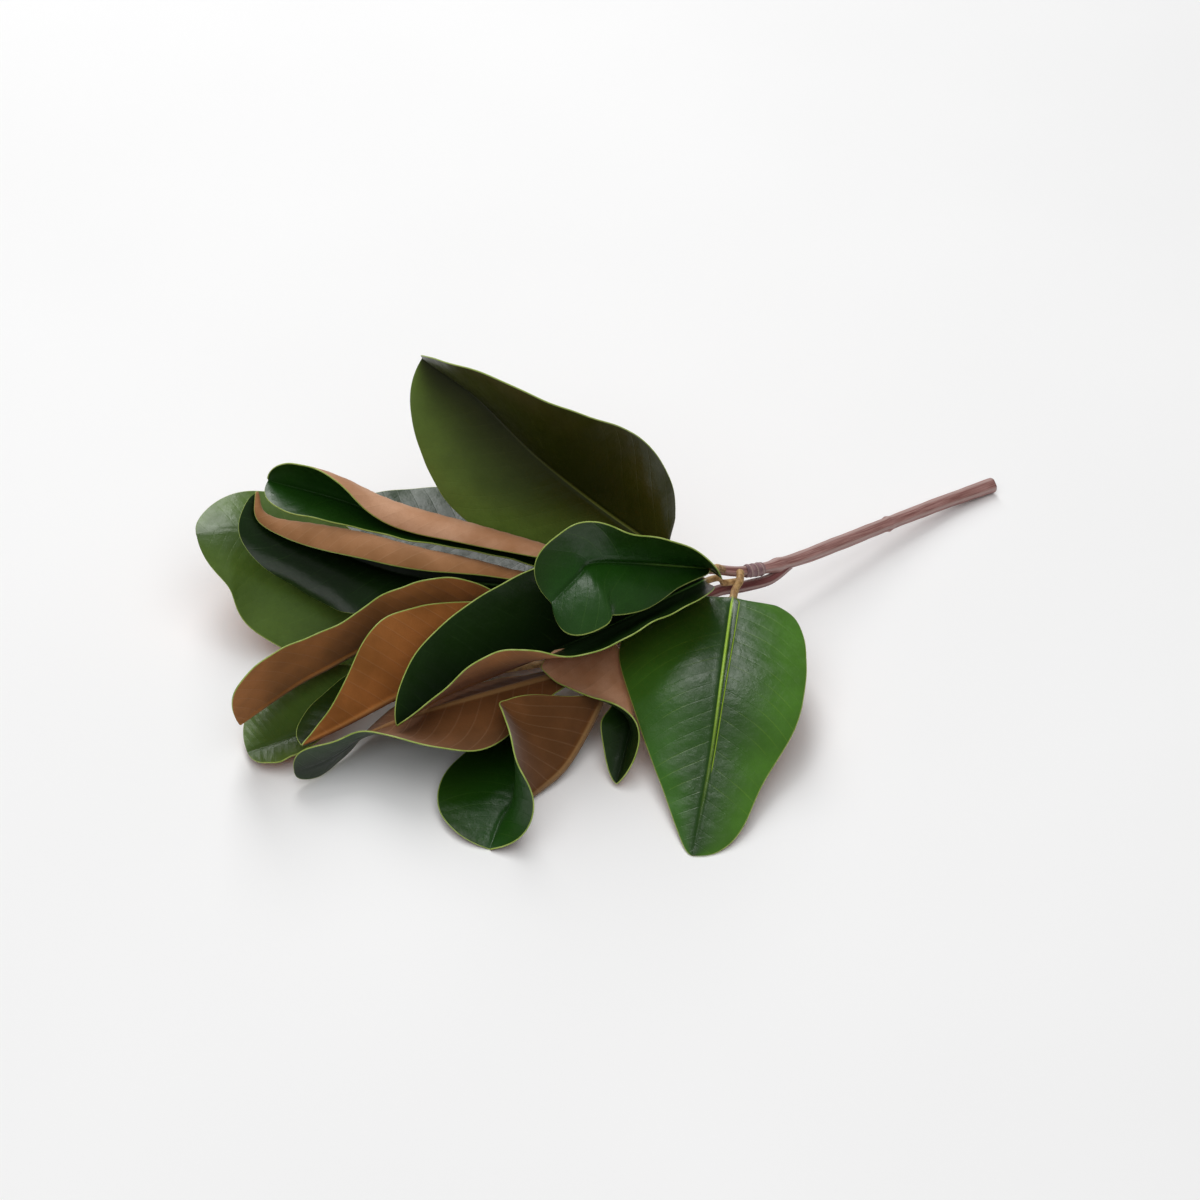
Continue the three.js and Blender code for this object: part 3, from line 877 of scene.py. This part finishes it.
    def with_petiole(self, upper: Array, lower: Array, along: Array, centre: Array, side: Array, up: Array
                     ) -> tuple[Array, Array]:
        """Turns the rows before the blade into a round stalk, and eases one into the other.

        The stalk's upper columns lie on a circle at angles in equal steps from one side to the other,
        and its lower ones opposite. Over the first hundredths of the blade the two are mixed.

        Args:
            upper: the blade's upper grid.
            lower: its underside.
            along: place of each row.
            centre: the path's points.
            side: directions to the side.
            up: directions out of the face.

        Returns:
            Both grids, resting on the surface where they would dip under it.
        """
        angle = np.pi / 2 * np.linspace(-1, 1, upper.shape[1])
        out = self.petiole_radius * np.sin(angle)
        rise = np.maximum(self.petiole_radius * np.cos(angle), self.thickness / 2)
        middle = (centre - up * self.petiole_radius / 2)[:, None] + out[:, None] * side[:, None]
        lift = rise[:, None] * up[:, None]
        blade = smooth(*PETIOLE_BLEND, along)[:, None, None]
        upper = (middle + lift) * (1 - blade) + upper * blade
        lower = (middle - lift) * (1 - blade) + lower * blade
        upper[..., 2] = np.maximum(upper[..., 2], self.thickness + CLEARANCE)
        lower[..., 2] = np.maximum(lower[..., 2], CLEARANCE)
        return upper, lower

    def sheet(self, upper: Array, lower: Array, numbers: dict[str, Array]) -> bpy.types.Object:
        """Closes the two grids with a round rim and flat ends.

        Each row becomes a ring: the upper columns, a rim point, the lower columns backwards, a rim point.

        Args:
            upper: the upper grid.
            lower: the underside's grid.
            numbers: what each upper point carries.

        Returns:
            The leaf's object.
        """
        rows, columns = upper.shape[:2]
        rims = []
        for edge, inner in ((-1, -2), (0, 1)):
            outward = unit(upper[:, edge] - upper[:, inner]) * self.thickness * RIM_BULGE
            rims.append(((upper[:, edge] + lower[:, edge]) / 2 + outward)[:, None])
        ring = np.concatenate([upper, rims[0], lower[:, ::-1], rims[1]], axis=1)
        around = ring.shape[1]
        faces = ring_faces(rows, around)
        column = np.tile(np.arange(around), rows - 1)
        slot = np.full(len(faces), 2)
        slot[column < columns - 1] = 0
        slot[(column > columns) & (column < 2 * columns)] = 1
        caps = self.caps(rows, columns, around)
        points = ring.reshape(-1, 3)
        carried = {
            name: np.concatenate([grid, grid[:, -1:], grid[:, ::-1], grid[:, :1]], axis=1)
            for name, grid in numbers.items()
        }
        materials = [finish.material_once() for finish in (self.green.value, self.brown.value, RIM)]
        piece = piece_from(self.node.replace("leaf_", "blade_"), points, faces.tolist() + caps, materials,
                           np.concatenate([slot, np.full(len(caps), 2)]), carried)
        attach(piece, "root")
        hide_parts(self.node)
        return piece

    def caps(self, rows: int, columns: int, around: int) -> list[tuple[int, ...]]:
        """Flat ends across the first and the last ring, as quads from its upper to its lower columns.

        Args:
            rows: rings of the sheet.
            columns: upper columns.
            around: points of a ring.

        Returns:
            The faces' point numbers.
        """
        j = np.arange(columns - 1)
        below = 2 * columns - j
        quads = np.stack([j + 1, j, below, below - 1], axis=1)
        last = (rows - 1) * around
        right, left = columns, around - 1
        ends = [(0, left, 2 * columns), (columns - 1, columns + 1, right)]
        flipped = [tuple(last + n for n in reversed(face)) for face in ends]
        return quads.tolist() + (last + quads[:, ::-1]).tolist() + ends + flipped


@dataclass
class Shoot:
    """A round shoot along a path, with a long shallow groove, rings where leaves once sat, and flat ends.

    Args:
        name: the piece's name.
        path: points of its middle, each with the radius there.
        finish: its bark.
        rings: raised rings, each as its middle and spread, in shares of the shoot, and its height.
        groove: how deep the groove along it is.
        groove_turn: where round the shoot the groove lies, in degrees up from the side.
        step: distance between rings of points.
        sides: points in a ring.
        unevenness: how far the surface wanders.
        seed: number that the wandering is drawn from.
    """

    name: str
    path: list[tuple[Point, float]]
    finish: ReddishBark
    rings: tuple[Numbers, ...] = ()
    groove: float = 0.4
    groove_turn: float = 130.0
    step: float = 1.6
    sides: int = 48
    unevenness: float = 0.12
    seed: int = 3

    def build(self) -> bpy.types.Object:
        """Carries a ring along the path, at the path's radius plus the raised rings, less the groove.

        The groove is a bell 0.35 radians wide with a lower bank 0.7 radians off on either side, and three
        sines of the way along and the turn make the surface wander.

        Returns:
            The shoot, riding on the branch.
        """
        middle = SmoothPath([point for point, _ in self.path])
        share = np.linspace(0, 1, int(middle.length / self.step) + 1)
        turn = ring_angles(self.sides)
        radius = evened(tuple(r for _, r in self.path), share)
        for place, spread, height in self.rings:
            radius = radius + height * np.exp(-(((share - place) / spread) ** 2))
        away = np.abs(np.angle(np.exp(1j * (turn - np.radians(self.groove_turn)))))
        dip = self.groove * (np.exp(-((away / 0.35) ** 2)) - 0.4 * np.exp(-(((away - 0.7) / 0.3) ** 2)))
        phase = np.random.default_rng(self.seed).uniform(0, 2 * np.pi, 3)
        travelled = (share * middle.length)[:, None]
        wander = np.sin(travelled / 9 + 2 * turn + phase[0]) + np.sin(travelled / 5 - 3 * turn + phase[1])
        wander = (wander + 0.6 * np.sin(travelled / 2.3 + turn + phase[2])) * self.unevenness / 2
        points = tube(middle, share, radius[:, None] - dip + wander)
        points[..., 2] = np.maximum(points[..., 2], CLEARANCE)
        numbers = {
            "along_mm": travelled,
            "turn": np.abs(np.angle(np.exp(1j * turn))),
            # where the bark's painted highlight lies, on the ridges beside the groove
            "ridge_highlight": np.exp(-(((away - 0.75) / 0.3) ** 2)),
        }
        return self.closed(points, middle.at(share[[0, -1]])[0], numbers)

    def closed(self, points: Array, ends: Array, numbers: dict[str, Array]) -> bpy.types.Object:
        """Closes the tube at both ends with a smaller ring and a fan of triangles.

        Args:
            points: the rings.
            ends: the path's first and last point.
            numbers: what the rings' points carry; both ends carry nothing but a cut of 1.

        Returns:
            The shoot's object.
        """
        rows, sides = points.shape[:2]
        inset = points[[0, -1]] * CUT_RING + ends[:, None] * (1 - CUT_RING)
        rings = np.concatenate([inset[:1], points, inset[1:]])
        k = np.arange(sides)
        after, last = (k + 1) % sides, (rows + 1) * sides
        hubs = np.full(sides, last + sides)
        fans = [np.stack([k, after, hubs], axis=1), np.stack([last + after, last + k, hubs + 1], axis=1)]
        faces = ring_faces(rows + 2, sides)[:, ::-1].tolist() + np.concatenate(fans).tolist()
        carried = {}
        for label, values in {**numbers, "cut": np.zeros(sides)}.items():
            end = float(label == "cut")
            grid = np.pad(np.broadcast_to(values, (rows, sides)), ((1, 1), (0, 0)), constant_values=end)
            carried[label] = np.append(grid, [end, end])
        piece = piece_from(self.name, np.concatenate([rings.reshape(-1, 3), ends]), faces,
                           [self.finish.material_once()], np.zeros(len(faces)), carried)
        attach(piece, "root")
        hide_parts("main_stem")
        return piece


@dataclass
class TapeBinding:
    """The sleeve of tape wound round the upper shoot just past the fork.

    Args:
        shoot: the shoot that it is wound on.
        span: where it begins and ends along the shoot.
        gap: room between bark and tape.
        wall: thickness of the tape where it is thinnest.
        lap: how much thicker it is where one turn overlaps the next.
        turns: turns of tape.
        rows: rings of points along it.
        sides: points in a ring.
    """

    shoot: Shoot
    span: tuple[float, float] = (0.69, 0.732)
    gap: float = 0.3
    wall: float = 0.45
    lap: float = 0.3
    turns: float = 3.2
    rows: int = 60
    sides: int = 64

    def build(self) -> bpy.types.Object:
        """Carries a ring along the shoot, outside and back inside, thicker towards each turn's edge.

        The wall grows with the cube of the share of a turn that is passed, counted along the sleeve and
        round it, and is half as thick at both ends.

        Returns:
            The sleeve, riding on the branch.
        """
        middle = SmoothPath([point for point, _ in self.shoot.path])
        share = np.linspace(*self.span, self.rows)
        inside = evened(tuple(r for _, r in self.shoot.path), share)[:, None] + self.gap
        passed = np.linspace(0, self.turns, self.rows)[:, None] + np.arange(self.sides) / self.sides
        edge = passed % 1.0
        row = np.arange(self.rows)[:, None]
        taper = smooth(0, 4, row) * smooth(self.rows - 1, self.rows - 5, row)
        outside = inside + (self.wall + self.lap * edge**3) * (0.5 + 0.5 * taper)
        radii = np.concatenate([outside, np.broadcast_to(inside, edge.shape)[::-1]])
        points = tube(middle, np.concatenate([share, share[::-1]]), radii)
        faces = ring_faces(2 * self.rows + 1, self.sides) % radii.size
        numbers = {"wrap_edge": np.concatenate([edge, np.zeros_like(edge)])}
        piece = piece_from("tape_binding", points.reshape(-1, 3), faces[:, ::-1].tolist(),
                           [TAPE.material_once()], np.zeros(len(faces)), numbers)
        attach(piece, "root")
        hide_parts("binding")
        return piece


@dataclass
class Studio:
    """The pale floor, the soft light and the camera.

    Args:
        floor_size: side of the square floor, in metres.
        camera_at: the camera's place in the layout frame, in millimetres.
        looks_at: the point in the middle of its picture.
        lens: focal length on a sensor 36 mm wide.
        sky: strength of the pale light from all round.
    """

    floor_size: float = 14.0
    camera_at: Point = (0.0, -1302.0, 1093.0)
    looks_at: Point = (0.0, 0.0, 0.0)
    lens: float = 85.0
    sky: float = 0.14

    def build(self) -> None:
        """Sets out the floor, the lights and the camera."""
        self.floor()
        self.world()
        self.softbox("ceiling_bounce", (-0.1, -1.0, 2.4), (-0.05, -0.4, 0), (3.4, 3.4), 50.0, shines=False)
        self.softbox("back_softbox", (-0.5, 2.0, 2.35), (-0.05, 0, 0), (1.2, 3.0), 62.0, shines=True)
        self.camera()

    def floor(self) -> None:
        """A flat sheet of matte paper at the height on which the branch rests."""
        half = self.floor_size / 2
        corners = [(-half, -half, 0), (half, -half, 0), (half, half, 0), (-half, half, 0)]
        mesh = bpy.data.meshes.new("paper_floor")
        mesh.from_pydata(corners, [], [(0, 1, 2, 3)])
        s = Shading("matte_white_paper")
        colour = s.mix(s.ramp(s.noise(400, 2), 0.3, 0.7), "f4f4f4", "f6f6f6")
        paper = s.finish({"Base Color": colour, "Roughness": 0.85, "Specular IOR Level": 0.2})
        mesh.materials.append(paper)
        floor = bpy.data.objects.new("paper_floor", mesh)
        bpy.context.scene.collection.objects.link(floor)

    def world(self) -> None:
        """An even pale light from all round."""
        world = bpy.data.worlds.new("pale_room")
        world.use_nodes = True
        world.node_tree.nodes.clear()
        sky = add_node(world.node_tree, "Background", {}, {"Color": linear("ffffff"), "Strength": self.sky})
        add_node(world.node_tree, "OutputWorld", {}, {"Surface": sky.outputs[0]})
        bpy.context.scene.world = world

    def softbox(self, name: str, at: Point, aim: Point,
                size: tuple[float, float], power: float, shines: bool) -> None:
        """A flat soft light.

        Args:
            name: its name.
            at: its place in metres.
            aim: the point it faces.
            size: its width and height in metres.
            power: its power in watts.
            shines: whether glossy surfaces mirror it.
        """
        data = bpy.data.lights.new(name, "AREA")
        data.shape = "RECTANGLE"
        data.size, data.size_y = size
        data.energy = power
        light = bpy.data.objects.new(name, data)
        light.visible_glossy = shines
        light.location = at
        light.rotation_euler = (Vector(aim) - Vector(at)).to_track_quat("-Z", "Y").to_euler()
        bpy.context.scene.collection.objects.link(light)

    def camera(self) -> None:
        """The camera at the photographed viewing angle."""
        data = bpy.data.cameras.new("studio_camera")
        data.lens = self.lens
        data.sensor_width = 36.0
        data.sensor_fit = "HORIZONTAL"
        data.clip_start, data.clip_end = 0.05, 50.0
        camera = bpy.data.objects.new("studio_camera", data)
        at, aim = (Vector(to_packed(np.array(p)).tolist()) for p in (self.camera_at, self.looks_at))
        camera.location = at
        camera.rotation_euler = (aim - at).to_track_quat("-Z", "Y").to_euler()
        bpy.context.scene.collection.objects.link(camera)
        bpy.context.scene.camera = camera
        bpy.context.scene.view_settings.view_transform = "Standard"


STEM = Shoot(
    "stem_bark",
    [((246, 107, 4.3), 4.8), ((212, 84, 8), 4.4), ((178, 57, 14), 4.3), ((144, 27, 22), 4.3),
     ((113, 0, 30), 4.5), ((85, -19, 38), 3.8), ((58, -22, 42), 3.0), ((29, -34, 44), 2.8),
     ((14, -42, 44), 2.5)],
    STALK_BARK,
    rings=((0.31, 0.006, 0.7), (0.648, 0.014, 1.0)),
)
LOWER_SHOOT = Shoot(
    "lower_shoot_bark",
    [((112, -2, 29), 3.0), ((100, -13, 26.8), 3.3), ((84, -21, 28), 3.3), ((68, -28, 30), 3.3),
     ((46, -45, 30), 2.7), ((26, -59, 29), 2.6), ((9, -71, 27), 3.0), ((0, -76, 26), 2.5)],
    SHOOT_BARK,
    groove=0.25,
    seed=8,
)

LEAVES = [
    MagnoliaLeaf(
        "leaf_back_tall", width=116, roll=(55,), green=Green.OLIVE, seed=1,
        petiole=[(55.5, -17, 44.6), (48, -14, 45.5)],
        midrib=[(40, -12, 46), (4, -1, 68), (-38, 12, 100), (-71, 30, 127), (-103, 51, 142)],
        left=HalfBlade((5,), (0.5, 0.65, 0.95, 1, 1), curl=(-15,)),
        right=HalfBlade((10, 34, 58, 74, 94), (1, 1, 1, 0.97, 0.82), curl=(-30,)),
    ),
    MagnoliaLeaf(
        "leaf_back_low", width=84, outline=(0.5, 0.8), seed=2,
        petiole=[(27.5, -30.5, 41), (23, -26, 39)],
        midrib=[(16, -23, 38), (-41, -5, 40), (-101, 12, 45), (-161, 25, 52)],
        left=HalfBlade((0, -10), (1,)),
        right=HalfBlade((5, 5), (1.1,)),
    ),
    MagnoliaLeaf(
        "leaf_rolled_back", width=92, outline=(0.5, 0.42), green=Green.MID, brown=Brown.LIT_PINKISH, seed=3,
        petiole=[(12, -42.5, 49), (9, -44, 53)],
        midrib=[(2, -47, 57), (-58, -30, 64), (-116, -12, 70), (-154, 0, 77), (-194, 11, 82)],
        left=HalfBlade((25, 25, 22, 12, 0), (0.5, 0.35, 0.5, 0.6, 0.9)),
        right=HalfBlade(
            (50, 55, 60, 60, 70, 75), (0.9, 0.8, 0.78, 0.78, 0.85, 0.68), curl=(150, 165, 170, 175, 95, 30),
        ),
    ),
    MagnoliaLeaf(
        "leaf_rolled_front", width=96, outline=(0.5, 0.42), brown=Brown.TAN, seed=4,
        petiole=[(12.9, -42.6, 44), (1, -47, 46)],
        midrib=[
            (-9, -50, 48), (-69, -45, 50), (-115, -40, 53),
            (-159, -27, 62), (-193, -19, 76), (-198, -11, 90),
        ],
        left=HalfBlade((20, 20, 10, 0, -5), (0.4, 0.45, 0.55, 0.85, 0.5), curl=(0, 0, -40, -130, -20)),
        right=HalfBlade(
            (50, 40, 40, 40, 50, 60), (0.5, 0.65, 0.9, 1, 0.8, 0.2), curl=(150, 170, 180, 185, 190, 190),
        ),
    ),
    MagnoliaLeaf(
        "leaf_far_left", width=106, green=Green.LIGHT, seed=5,
        petiole=[(12, -42, 38.7), (-2, -38, 32)],
        midrib=[(-23, -35, 28), (-112, -25, 24), (-176, -8, 42), (-211, -2, 56), (-236, -9, 58)],
        left=HalfBlade((0, -18, -20), (1, 1, 1.05, 1.13, 1.1), curl=(-20,)),
        right=HalfBlade((10, -26.5, -20, 0, 8), (1, 1, 1, 1, 0.75)),
    ),
    MagnoliaLeaf(
        "leaf_left_upper", width=84, outline=(0.5, 0.5), seed=6,
        petiole=[(16.5, -46.6, 43), (0, -53, 42), (-20, -58, 41.5)],
        midrib=[(-40, -61, 42), (-114, -75, 38), (-158, -100, 32), (-178, -114, 28), (-201, -136, 24)],
        left=HalfBlade((78,), (0.5, 1.1, 0.98, 0.78, 1.15, 2), curl=(5,), sweep=(0, 0, 0, 0, 0.1, 0.35)),
        right=HalfBlade((10, 0, 5, 10), (0.65, 0.5, 0.5, 0.4)),
    ),
    MagnoliaLeaf(
        "leaf_left_middle", width=96, outline=(0.5, 0.5), seed=7,
        petiole=[(-2.5, -74.5, 30.3), (-14, -71, 31.5)],
        midrib=[(-32, -68, 36), (-85, -95, 28), (-117, -115, 24), (-145, -136, 22), (-165, -153, 24)],
        left=HalfBlade((112,), (0.85, 0.81, 0.92, 0.93, 0.5, 0.1)),
        right=HalfBlade((12, 0), (0.7,)),
    ),
    MagnoliaLeaf(
        "leaf_small_left", width=76, green=Green.LIGHT, seed=8,
        petiole=[(-1, -75, 22.6), (-30, -80, 21), (-60, -86, 20), (-95, -91, 16)],
        midrib=[(-123, -97, 14), (-147, -113, 11), (-169, -126, 8), (-198, -138, 4)],
        left=HalfBlade((20, 10), (0.1, 0.35, 0.8)),
        right=HalfBlade((20, 15), (1,)),
    ),
    MagnoliaLeaf(
        "leaf_boat", width=115, outline=(0.5, 0.65), seed=9,
        petiole=[(80, -26.5, 37.5), (72, -29, 38.5)],
        midrib=[(62, -34, 44), (2, -69, 36), (-57, -102, 32), (-89, -125, 34), (-112, -150, 36)],
        left=HalfBlade((30, 38, 37, 60, 50), (1,)),
        right=HalfBlade((70, 75, 72, 65, 55), (0.92,)),
    ),
    MagnoliaLeaf(
        "leaf_short_top", width=84, green=Green.MID, seed=10,
        petiole=[(72, -25, 45.5), (68, -31, 52)],
        midrib=[(63, -38, 56), (23, -61, 78), (-4, -73, 88), (-12, -85, 89), (-27, -100, 82)],
        left=HalfBlade(
            (0,), (0.3, 0.45, 0.8, 0.9, 0.95), curl=(-20, -30, -40, -40, -30), sweep=(0, 0, 0.1, 0.4, 0.8),
        ),
        right=HalfBlade(
            (150, 120, 95, 80, 50, 30), (1.1, 0.82, 0.64, 0.6, 0.75, 1), curl=(60, 40, 40, 40, 20, 0),
        ),
    ),
    MagnoliaLeaf(
        "leaf_face_down", width=84, outline=(0.5, 0.4), brown=Brown.SHADED_UMBER, seed=11,
        roll=(180, 180, 180, 170, 125, 90),
        petiole=[(-2.4, -78.2, 25.7), (-9, -87, 29)],
        midrib=[
            (-14, -98, 30), (-75, -126, 32), (-105, -135, 28),
            (-130, -143, 21), (-151, -155, 14), (-169, -163, 12),
        ],
        left=HalfBlade((25, 25, 20, 0, 0), (0.6, 0.6, 0.6, 0.5, 0.45)),
        right=HalfBlade((10, 6, 4, 0, 0, 0), (0.4, 0.6, 1, 0.8, 0.45, 0.8), curl=(0, 0, -5, -20, -20, 0)),
    ),
    MagnoliaLeaf(
        "leaf_front_floor", width=96, green=Green.MID, brown=Brown.SHADED_UMBER, seed=12,
        petiole=[(9, -74, 23.4), (6, -90, 25)],
        midrib=[
            (2, -110, 25), (-8, -130, 14), (-21, -153, 6), (-39, -172, 3), (-52, -184, 2), (-60, -211, 1),
        ],
        left=HalfBlade((108, 122, 120, 70, 15), (0.1, 0.95, 1.1, 1.04, 1.04, 1.04), curl=(20,)),
        right=HalfBlade((-10, 5, 10), (0.5, 0.7, 1, 1, 1)),
    ),
    MagnoliaLeaf(
        "leaf_small_front", width=90, outline=(0.45, 0.7), brown=Brown.LIT_PINKISH, seed=13,
        petiole=[(8.3, -75, 31.3)],
        midrib=[
            (6, -79, 33), (10.5, -87, 31), (15.3, -108, 24.2), (17, -128, 18), (14, -143, 11), (9, -162, 3),
        ],
        left=HalfBlade((170, 168, 165, 145, 75, 50, 45), (1.9, 1.25, 0.85, 0.6, 0.5, 0.5, 0.6)),
        right=HalfBlade((5, 0, 10, 10), (0.08, 0.08, 0.15, 0.4, 0.4, 0.4)),
    ),
    MagnoliaLeaf(
        "leaf_front_right", width=112, outline=(0.4, 0.5), green=Green.BRIGHT, seed=14,
        petiole=[(82, -24, 43), (81, -34, 43)],
        midrib=[(77, -45, 40), (69, -107, 38), (61, -161, 20), (50, -216, 0.8)],
        left=HalfBlade((5,), (1.02, 0.89, 0.81, 0.63, 0.8), curl=(-20,), sweep=(-0.2, 0, 0)),
        right=HalfBlade((5,), (1.1, 1.17, 0.86, 0.58, 0.3), curl=(-20,), sweep=(-0.2, 0, 0)),
    ),
]


def main() -> None:
    """Builds the studio and the branch, piece by piece, and logs how many points each piece has."""
    logging.basicConfig(level=logging.INFO, format="%(message)s")
    Studio().build()
    for part in (STEM, LOWER_SHOOT, TapeBinding(STEM), *LEAVES):
        piece = part.build()
        log.info("%s: %d points", piece.name, len(piece.data.vertices))


if __name__ == "__main__":
    main()
